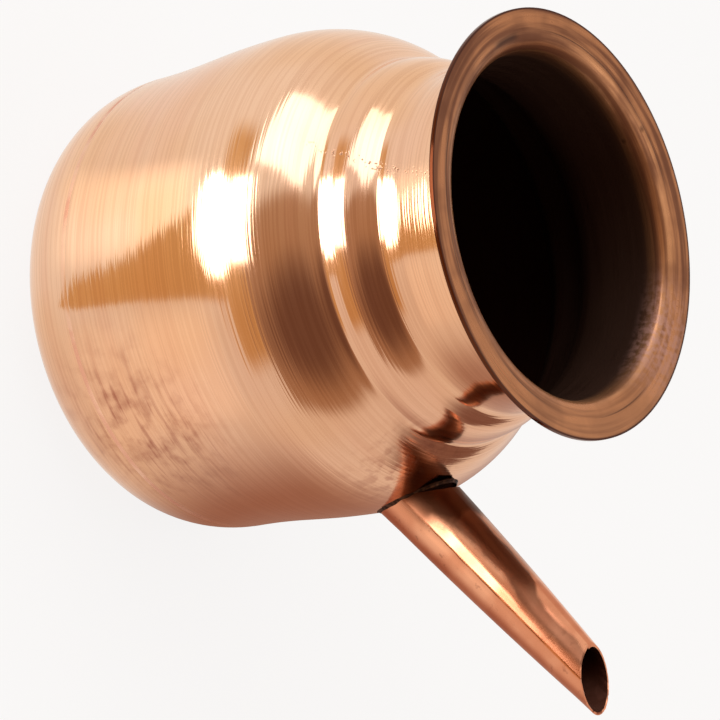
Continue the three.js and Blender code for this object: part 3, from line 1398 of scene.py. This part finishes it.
@dataclass
class Spout:
    """A tube rolled from tapering sheet, with one edge lapped over the other."""

    axis: SpoutAxis
    wall: float = 0.8
    facets: int = 96
    start: float = 54.0
    stations: int = 44
    ring_turn_deg: float = 3.251
    lap_deg: float = 8.0
    lap_step: float = 0.45
    edge_apart: float = 0.02
    lap_sweep_deg: float = 70.0
    flat_deg: float = 66.5
    flat_before_deg: float = 2.3
    flat_after_deg: float = 12.8
    flat_fade_deg: float = 18.0
    cut_tilt_deg: float = 88.0
    root_plane_x: float = 48.4
    filed_back: float = 0.4
    dent_start: float = 99.0
    dent_ease: float = 4.0
    dent_deg: float = 26.0
    dent_reach_deg: float = 30.0
    dent_depth: float = 0.45

    def build(self, outside: Material, inside: Material) -> Piece:
        """Models and dresses the spout.

        Args:
            outside: Hand-buffed copper.
            inside: Tarnished copper.

        Returns:
            The finished piece.
        """
        piece = self.open_ring()
        self.draw_out(piece)
        self.dent_end(piece)
        settle(piece)
        turn_outward(piece, lambda place: self.axis.around(place)[1])
        self.trim(piece)
        thicken(piece, self.wall, outside, inside)
        self.level_mouth(piece)
        smooth(piece, 42.0)
        dress(piece, "spout_tube")
        return piece

    def past_seam(self, place: Vector) -> float:
        """Degrees from the seam to a place, from nought up to a whole turn."""
        return (self.axis.around(place)[2] - self.lap_deg) % 360

    def open_ring(self) -> Piece:
        """Makes the tube's first ring, opened at the seam and lifted where it isn't round.

        Returns:
            The ring.
        """
        axis = self.axis
        centre = axis.point(self.start)
        bpy.ops.object.select_all(action="DESELECT")
        bpy.ops.mesh.primitive_circle_add(
            vertices=self.facets,
            radius=axis.radius(self.start) * MM,
            fill_type="NOTHING",
            location=centre,
            rotation=axis.rotation,
        )
        piece = bpy.context.object
        piece.name = "spout_tube_rolled"
        settle(piece)
        with editing(piece):
            bpy.ops.mesh.select_all(action="SELECT")
            bpy.ops.transform.rotate(
                value=-math.radians(self.ring_turn_deg),
                orient_axis="Z",
                orient_type="GLOBAL",
                orient_matrix=axis.along.to_track_quat("Z", "Y").to_matrix(),
                center_override=centre,
            )
        with editing(piece) as mesh:
            ordered = sorted(mesh.verts, key=lambda vertex: self.past_seam(vertex.co))
            columns = [vertex.co.copy() for vertex in ordered]
            ends = {ordered[0], ordered[-1]}
            for edge in mesh.edges:
                edge.select = set(edge.verts) == ends
            for vertex in mesh.verts:
                vertex.select = vertex in ends
            bmesh.update_edit_mesh(piece.data)
            bpy.ops.mesh.delete(type="EDGE")
        overlap = columns[0] - columns[-1] + axis.along * self.edge_apart * MM
        with editing(piece):
            self.pick(piece, columns[-1])
            bpy.ops.mesh.extrude_region_move(TRANSFORM_OT_translate={"value": overlap})
            for index, column in enumerate(columns):
                lift = self.lift(360 * index / self.facets)
                if lift != 0:
                    self.pick(piece, column)
                    way = (column - centre).normalized()
                    bpy.ops.transform.translate(value=way * lift * MM)
        return piece

    def pick(self, piece: Piece, place: Vector) -> None:
        """Selects the vertex at a place, and not its neighbour beyond the seam."""
        select_where(piece, lambda p: (p - place).length < self.edge_apart / 2 * MM)

    def lift(self, past_seam: float) -> float:
        """Says how far the rolled sheet stands off a true round.

        Args:
            past_seam: Degrees past the seam.

        Returns:
            Millimetres outward, on the lapped edge and along the side that the mandrel left flat.
        """
        lapped = self.lap_step * max(0.0, 1 - past_seam / self.lap_sweep_deg)
        off = past_seam + self.lap_deg - self.flat_deg
        past = (off - self.flat_after_deg) / self.flat_fade_deg
        if off <= -self.flat_before_deg or past >= 1:
            return lapped
        off = min(off, self.flat_after_deg)
        chord = math.cos(math.radians(self.flat_before_deg)) / math.cos(math.radians(off))
        return lapped + self.axis.radius(self.start) * (chord - 1) * (1 - max(0.0, past))

    def draw_out(self, piece: Piece) -> None:
        """Extrudes the ring along the spout and narrows it at each station.

        Args:
            piece: The ring.
        """
        axis = self.axis
        end = axis.length + axis.root_radius + 2
        stations = [
            self.start + (end - self.start) * i / self.stations for i in range(self.stations + 1)
        ]
        with editing(piece):
            bpy.ops.mesh.select_all(action="SELECT")
            for here, there in zip(stations, stations[1:]):
                bpy.ops.mesh.extrude_region_move(
                    TRANSFORM_OT_translate={"value": axis.along * (there - here) * MM}
                )
                share = axis.radius(there) / axis.radius(here)
                bpy.ops.transform.resize(
                    value=(share, share, share), center_override=axis.point(there)
                )

    def dent_end(self, piece: Piece) -> None:
        """Flattens the tube beside its seam towards the mouth, where it was bent in.

        Args:
            piece: The tube.
        """
        with editing(piece) as mesh:
            for vertex in mesh.verts:
                along, out, turn = self.axis.around(vertex.co)
                off = (turn - self.dent_deg) / self.dent_reach_deg
                share = min(1.0, max(0.0, (along - self.dent_start) / self.dent_ease))
                push = self.dent_depth * share * share * (3 - 2 * share) * math.exp(-off * off)
                vertex.co -= out.normalized() * push * MM
            bmesh.update_edit_mesh(piece.data)

    def trim(self, piece: Piece) -> None:
        """Cuts the mouth obliquely and the root a little inside the belly.

        Args:
            piece: The rolled sheet, before it gets its wall.
        """
        axis = self.axis
        cuts = (
            (axis.point(axis.length), self.cut_way),
            (Vector((self.root_plane_x * MM, 0.0, 0.0)), Vector((-1.0, 0.0, 0.0))),
        )
        with editing(piece):
            for place, way in cuts:
                bpy.ops.mesh.select_all(action="SELECT")
                bpy.ops.mesh.bisect(plane_co=place, plane_no=way, clear_outer=True)

    @property
    def cut_way(self) -> Vector:
        """Direction that the cut mouth faces."""
        tilt = math.radians(self.cut_tilt_deg)
        return Vector((math.cos(tilt), 0.0, math.sin(tilt)))

    def level_mouth(self, piece: Piece) -> None:
        """Slides the mouth's inner edge along the spout into the plane of the cut.

        Args:
            piece: The tube with its wall.
        """
        axis = self.axis
        way = self.cut_way
        mouth = axis.point(axis.length)
        with editing(piece) as mesh:
            for vertex in mesh.verts:
                inner_edge = any(
                    len({face.material_index for face in edge.link_faces}) > 1
                    for edge in vertex.link_edges
                )
                if inner_edge and abs((mouth - vertex.co).dot(way)) < self.wall * MM:
                    out = axis.around(vertex.co)[1].normalized()
                    vertex.co += out * self.filed_back * MM
                    drop = (mouth - vertex.co).dot(way)
                    vertex.co += axis.along * drop / axis.along.dot(way)
            bmesh.update_edit_mesh(piece.data)


@dataclass
class SpoutBraze:
    """The fillet of braze round the spout's root, run in by hand."""

    outline: PotOutline
    axis: SpoutAxis
    around: int = 160
    across: int = 12
    width_mm: float = 0.7
    height_mm: float = 0.55
    sunk_mm: float = 0.25
    unevenness: float = 0.2
    wave_count: int = 7
    wave_sum: float = 2.2
    seed: int = 23
    search: tuple[float, float] = (50.0, 85.0)
    profile_spacing_mm: float = 0.7
    profile_heights_mm: tuple[float, float] = (40.0, 79.0)

    def build(self, finish: Material) -> Piece:
        """Models and dresses the fillet.

        The ring follows where the tube meets the belly, which no operator finds, so a torus is
        added and each of its cross-sections is laid into that corner.

        Args:
            finish: Flux-stained braze.

        Returns:
            The finished piece.
        """
        axis = self.axis
        bpy.ops.object.select_all(action="DESELECT")
        bpy.ops.mesh.primitive_torus_add(
            major_segments=self.around,
            minor_segments=self.across,
            major_radius=axis.root_radius * MM,
            minor_radius=self.height_mm * MM,
        )
        piece = bpy.context.object
        piece.name = "spout_braze_fillet"
        settle(piece)
        rng = random.Random(self.seed)
        waves = [
            (rng.randint(3, 17), rng.uniform(0, math.tau), rng.random())
            for _ in range(self.wave_count)
        ]
        profile = self.belly_profile()
        with editing(piece) as mesh:
            for vertex in mesh.verts:
                turn = math.degrees(math.atan2(vertex.co.y, vertex.co.x))
                ring = math.hypot(vertex.co.x, vertex.co.y) - axis.root_radius * MM
                around = math.atan2(vertex.co.z, ring)
                swell = 1 + self.unevenness * sum(
                    w * math.sin(n * math.radians(turn) + p) for n, p, w in waves
                ) / self.wave_sum
                vertex.co = self.laid(turn, around, swell, profile)
            bmesh.update_edit_mesh(piece.data)
            bpy.ops.mesh.select_all(action="SELECT")
            bpy.ops.mesh.normals_make_consistent(inside=False)
        piece.data.materials.append(finish)
        apply_modifier(piece, "SUBSURF", levels=1, render_levels=1)
        smooth(piece, 80.0)
        dress(piece, "spout_solder")
        return piece

    def belly_profile(self) -> list[Vector]:
        """Returns the belly's outline near the spout's root."""
        low, high = (height * MM for height in self.profile_heights_mm)
        return [p for p in self.outline.body(self.profile_spacing_mm) if low < p.z < high]

    def laid(
        self, turn: float, around: float, swell: float, profile: Sequence[Vector]
    ) -> Vector:
        """Lays one point of the ring's section into the corner of tube and belly.

        Args:
            turn: Degrees round the spout from its top.
            around: Angle round the section.
            swell: How full the braze is here.
            profile: The belly's outline.

        Returns:
            The point.
        """
        axis = self.axis
        out = axis.outward(turn)
        corner, normal = self.corner(turn, profile)
        foot = (out - normal * out.dot(normal)).normalized()
        climb = axis.along
        width = self.width_mm * swell * MM
        height = self.height_mm * swell * MM
        share = around / math.tau + 0.5
        sunk = -self.sunk_mm * MM
        loop = [
            corner + foot * sunk + climb * sunk,
            corner + foot * width + normal * sunk,
            corner + foot * width,
            corner + foot * width * 0.5 + climb * height * 0.22,
            corner + foot * width * 0.24 + climb * height * 0.5,
            corner + climb * height,
            corner + climb * height + foot * sunk,
        ]
        step = share * len(loop)
        low = int(step) % len(loop)
        return loop[low].lerp(loop[(low + 1) % len(loop)], step - int(step))

    def corner(self, turn: float, profile: Sequence[Vector]) -> tuple[Vector, Vector]:
        """Finds where the tube's side meets the belly.

        Args:
            turn: Degrees round the spout from its top.
            profile: The belly's outline.

        Returns:
            The meeting point and the belly's normal there.
        """
        axis = self.axis
        low, high = self.search
        for _ in range(40):
            middle = (low + high) / 2
            place = axis.point(middle) + axis.outward(turn) * axis.radius(middle) * MM
            radius, _slope = self.belly_at(place.z, profile)
            if math.hypot(place.x, place.y) < radius:
                low = middle
            else:
                high = middle
        radius, slope = self.belly_at(place.z, profile)
        round_out = Vector((place.x, place.y, 0.0)).normalized()
        normal = (round_out - AXIS * slope).normalized()
        return place, normal

    @staticmethod
    def belly_at(height: float, profile: Sequence[Vector]) -> tuple[float, float]:
        """Radius and slope of the belly at a height.

        Args:
            height: The height in metres.
            profile: The belly's outline.

        Returns:
            The radius, and how fast it changes with height.
        """
        for a, b in zip(profile, profile[1:]):
            if a.z <= height <= b.z:
                share = (height - a.z) / (b.z - a.z)
                return a.x + (b.x - a.x) * share, (b.x - a.x) / (b.z - a.z)
        end = profile[0] if height < profile[0].z else profile[-1]
        return end.x, 0.0


# Studio


def direction(azimuth_deg: float, elevation_deg: float) -> Vector:
    """Unit vector towards a place in the room.

    Args:
        azimuth_deg: Angle about Z, from +X towards +Y.
        elevation_deg: Angle above the floor.

    Returns:
        The vector.
    """
    azimuth = math.radians(azimuth_deg)
    elevation = math.radians(elevation_deg)
    level = math.cos(elevation)
    return Vector((level * math.cos(azimuth), level * math.sin(azimuth), math.sin(elevation)))


@dataclass(frozen=True)
class Softbox:
    """A flat lamp that faces the pot."""

    name: str
    azimuth_deg: float
    elevation_deg: float
    distance: float
    width: float
    height: float
    radiance: float
    colour: str = "#FFFFFF"
    lean_deg: float = 0.0
    oval: bool = False

    def place(self, aim: Vector) -> None:
        """Adds the lamp, turned towards a point.

        Args:
            aim: The point that it faces.
        """
        way = direction(self.azimuth_deg, self.elevation_deg)
        lamp = bpy.data.lights.new(self.name, "AREA")
        lamp.shape = "ELLIPSE" if self.oval else "RECTANGLE"
        lamp.size = self.width
        lamp.size_y = self.height
        area = self.width * self.height * (math.pi / 4 if self.oval else 1.0)
        lamp.energy = self.radiance * math.pi * area
        lamp.color = linear(self.colour)[:3]
        holder = bpy.data.objects.new(self.name, lamp)
        holder.location = aim + way * self.distance
        holder.rotation_mode = "QUATERNION"
        lean = Quaternion((1.0, 0.0, 0.0), math.radians(self.lean_deg))
        holder.rotation_quaternion = way.to_track_quat("Z", "Y") @ lean
        holder.visible_camera = False
        bpy.context.scene.collection.objects.link(holder)


@dataclass(frozen=True)
class Spread:
    """A soft-edged cone of directions."""

    azimuth_deg: float
    elevation_deg: float
    reach_deg: float
    fade_deg: float

    def share(self, tree: Tree, way: Socket) -> Socket:
        """Says how far a direction lies in the cone.

        Args:
            tree: The node tree.
            way: Socket of the unit direction.

        Returns:
            A value from nought outside to one inside.
        """
        middle = direction(self.azimuth_deg, self.elevation_deg)
        towards = add_node(tree, Kind.VECTOR, way, middle, operation="DOT_PRODUCT")
        outer = math.cos(math.radians(self.reach_deg + self.fade_deg))
        return mask(tree, (towards, outer, math.cos(math.radians(self.reach_deg))))

    def wedge(self, place: TurnedPlace, apex_mm: Sequence[float] = (0.0, 0.0, 0.0)) -> Socket:
        """Marks the part of the floor that spreads from a point.

        Args:
            place: Where a point lies on the floor.
            apex_mm: The point that it spreads from.

        Returns:
            A value between nought and one.
        """
        tree = place.tree
        apex = Vector(apex_mm) * MM
        away = add_node(tree, Kind.VECTOR, place.position, apex, operation="SUBTRACT")
        return self.share(tree, add_node(tree, Kind.VECTOR, away, operation="NORMALIZE"))


@dataclass(frozen=True)
class RoomTone(Spread):
    """A soft-edged part of the room in another tone."""

    colour: str


@dataclass
class Studio:
    """Pale floor, plain soft light and the camera."""

    floor_radius: float = 4.0
    floor_drop: float = 0.02
    floor_colour: str = "#F4F2EF"
    floor_glow: float = 0.85
    floor_pale: str = "#FAF5EF"
    # Floor tones that only the copper sees: a painted pool of light in cream, painted shade in
    # warm tan, and a brown tone close to the pot.
    floor_painted_light: str = "#FFF9EC"
    floor_painted_shade: str = "#D8AD6C"
    floor_brown: str = "#A06E59"
    light_pool_gain: float = 0.6
    light_pool: Spread = Spread(-121.0, 0.0, 7.0, 14.0)
    side_light_pool: Spread = Spread(-62.0, 0.0, 12.0, 16.0)
    side_pool_share: float = 0.42
    painted_shade_side: Spread = Spread(-111.0, 0.0, 28.0, 6.0)
    warm_apex_mm: tuple[float, float, float] = (-3.0, -63.0, 0.0)
    far_side: Spread = Spread(-105.0, 0.0, 44.0, 12.0)
    brown_side: Spread = Spread(32.0, 0.0, 24.0, 46.0)
    pool_outside: tuple[float, float] = (0.05, 0.09)
    pool_within: tuple[float, float] = (0.17, 0.1)
    far_outside: tuple[float, float] = (0.22, 0.3)
    brown_within: tuple[float, float] = (0.3, 0.07)
    room_pale: str = "#F4EDE6"
    room_strength: float = 1.0
    room_tones: tuple[RoomTone, ...] = (
        RoomTone(-72.0, 32.0, 46.0, 10.0, "#B59479"),
        RoomTone(-62.0, 34.0, 12.0, 26.0, "#77594A"),
        RoomTone(50.0, 14.0, 21.0, 18.0, "#8C6C62"),
        RoomTone(116.0, 28.0, 20.0, 14.0, "#DCC6BA"),
    )
    camera_place: tuple[float, float, float] = (0.055707, -0.534507, 0.468944)
    camera_way: tuple[float, float, float] = (-0.05443, 0.78796, -0.61332)
    camera_roll_deg: float = 78.68
    camera_lens: float = 161.067
    lamp_aim: tuple[float, float, float] = (0.0, 0.0, 0.055)
    softboxes: tuple[Softbox, ...] = (
        Softbox("window_softbox", -159.0, 23.5, 0.9, 0.62, 0.64, 1.6, "#F6F9FF"),
        Softbox("low_softbox", -115.0, -0.4, 0.43, 0.275, 0.1, 4.0),
        Softbox("floor_softbox", -113.0, -9.3, 0.334, 0.2, 0.4, 4.0, "#FFFFFF", 80.7, True),
        Softbox("fill_overhead", 60.0, 62.0, 1.2, 0.6, 0.6, 0.9),
    )

    def camera(self) -> None:
        """Adds the camera at the photograph's place, turned about its own line of sight."""
        lens = bpy.data.cameras.new("camera")
        lens.lens = self.camera_lens
        lens.sensor_width = 36.0
        holder = bpy.data.objects.new("camera", lens)
        holder.location = self.camera_place
        upright = Vector(self.camera_way).to_track_quat("-Z", "Y")
        roll = Quaternion((0.0, 0.0, 1.0), math.radians(self.camera_roll_deg))
        holder.rotation_mode = "QUATERNION"
        holder.rotation_quaternion = upright @ roll
        bpy.context.scene.collection.objects.link(holder)
        bpy.context.scene.camera = holder

    def floor(self) -> None:
        """Adds the floor: a wide disc whose edge falls away."""
        bpy.ops.object.select_all(action="DESELECT")
        bpy.ops.mesh.primitive_circle_add(
            vertices=96, radius=self.floor_radius, fill_type="NGON", location=(0.0, 0.0, 0.0)
        )
        floor = bpy.context.object
        floor.name = "studio_floor"
        with editing(floor):
            bpy.ops.mesh.select_all(action="SELECT")
            bpy.ops.mesh.inset(thickness=self.floor_radius / 2)
        with editing(floor):
            inside_rim = self.floor_radius * 0.99
            select_where(floor, lambda p: math.hypot(p.x, p.y) > inside_rim)
            bpy.ops.transform.translate(value=(0.0, 0.0, -self.floor_drop))
        settle(floor)
        floor.data.materials.append(self.floor_material())
        LOG.info("%s: stage", floor.name)

    def floor_material(self) -> Material:
        """Builds matt paper that reads as white to the eye, while the copper sees it with a
        painted pool of light and painted shade.

        Returns:
            The finished material.
        """
        material = bpy.data.materials.new("paper_matt_white")
        material.use_nodes = True
        tree = material.node_tree
        tree.nodes.clear()
        place = TurnedPlace.on(tree)
        rays = add_node(tree, Kind.LIGHT_PATH).node.outputs
        camera = rays["Is Camera Ray"]
        seen = camera
        for name in ("Is Glossy Ray", "Is Transmission Ray"):
            seen = add_node(tree, Kind.MATH, seen, rays[name], operation="MAXIMUM")
        tone, strength = self.floor_tone(place, camera)
        glow = add_node(tree, Kind.EMISSION, tone, strength)
        paper = add_node(tree, Kind.DIFFUSE, self.floor_colour)
        share = mask(tree, seen, share=self.floor_glow)
        mixed = add_node(tree, Kind.MIX_SHADER, share, paper, glow)
        add_node(tree, Kind.MATERIAL_OUT, mixed)
        return material

    def floor_tone(self, place: TurnedPlace, camera: Socket) -> tuple[Socket, Socket]:
        """Says what the copper sees of the floor: a painted pool of light on the cream side,
        painted shade on the warm side, and a brown tone close to the pot.

        Args:
            place: Where a point lies on the floor.
            camera: Socket that is one for the camera's own rays, to which the floor is white.

        Returns:
            The colour and the strength that the floor shows.
        """
        tree = place.tree
        # Painted pools of light: a brighter cream floor beside the pot on the window side.
        side_light_pool = mask(tree, self.side_light_pool.wedge(place), share=self.side_pool_share)
        light_pool = self.light_pool.wedge(place)
        light_pool = add_node(tree, Kind.MATH, light_pool, side_light_pool, operation="MAXIMUM")
        light_pool = mask(
            tree, light_pool, (place.radius, *self.pool_within), (place.radius, *self.pool_outside)
        )
        # Painted shade: a warm tan wedge from near the pot's foot, and the far floor beyond it.
        far = mask(tree, self.far_side.wedge(place), (place.radius, *self.far_outside))
        warm = self.painted_shade_side.wedge(place, self.warm_apex_mm)
        warm = add_node(tree, Kind.MATH, warm, far, operation="MAXIMUM")
        brown = mask(tree, self.brown_side.wedge(place), (place.radius, *self.brown_within))
        tone = coats(
            tree,
            self.floor_pale,
            (light_pool, 1.0, self.floor_painted_light),
            (warm, 1.0, self.floor_painted_shade),
            (brown, 1.0, self.floor_brown),
            (camera, 1.0, "#FFFFFF"),
        )
        plain = add_node(tree, Kind.MATH, warm, camera, operation="MAXIMUM")
        # The painted pool of light also glows brighter, though not under the painted shade nor to
        # the camera.
        light_pool = mask(tree, light_pool, weighted(tree, 1.0, (plain, -1.0)))
        return tone, weighted(tree, 1.0, (light_pool, self.light_pool_gain))

    def world(self) -> None:
        """Sets a plain pale room with soft darker parts."""
        world = bpy.data.worlds.new("studio_room")
        bpy.context.scene.world = world
        world.use_nodes = True
        tree = world.node_tree
        tree.nodes.clear()
        way = add_node(tree, Kind.COORDINATES).node.outputs["Generated"]
        colour = coats(
            tree,
            self.room_pale,
            *((tone.share(tree, way), 1.0, tone.colour) for tone in self.room_tones),
        )
        glow = add_node(tree, Kind.BACKGROUND, colour, self.room_strength)
        add_node(tree, Kind.WORLD_OUT, glow)

    def build(self) -> None:
        """Sets up the camera, floor, room and lamps."""
        bpy.context.scene.view_settings.view_transform = "Standard"
        self.camera()
        self.floor()
        self.world()
        for softbox in self.softboxes:
            softbox.place(Vector(self.lamp_aim))


def main() -> None:
    """Builds the studio and every piece of the pot."""
    logging.basicConfig(level=logging.INFO, format="%(name)s: %(message)s")
    Studio().build()
    outline = PotOutline()
    axis = SpoutAxis()
    spun = SpunCopper().material()
    tarnished = TarnishedCopper().material()
    rolled = RolledCopper().material()
    braze = BrazeMetal().material()
    buffed_braze = BrazeMetal(
        name="braze_buffed_flush",
        metal="#F2C4A6",
        flux="#E2A88C",
        roughness=0.2,
        grain_mm=9.0,
        relief_mm=0.004,
    )
    BodyShell(outline, axis).build(spun, tarnished)
    BasePan(outline).build(spun, tarnished)
    HeelBraze(outline).build(buffed_braze.material())
    Spout(axis).build(rolled, tarnished)
    SpoutBraze(outline, axis).build(braze)


if __name__ == "__main__":
    main()
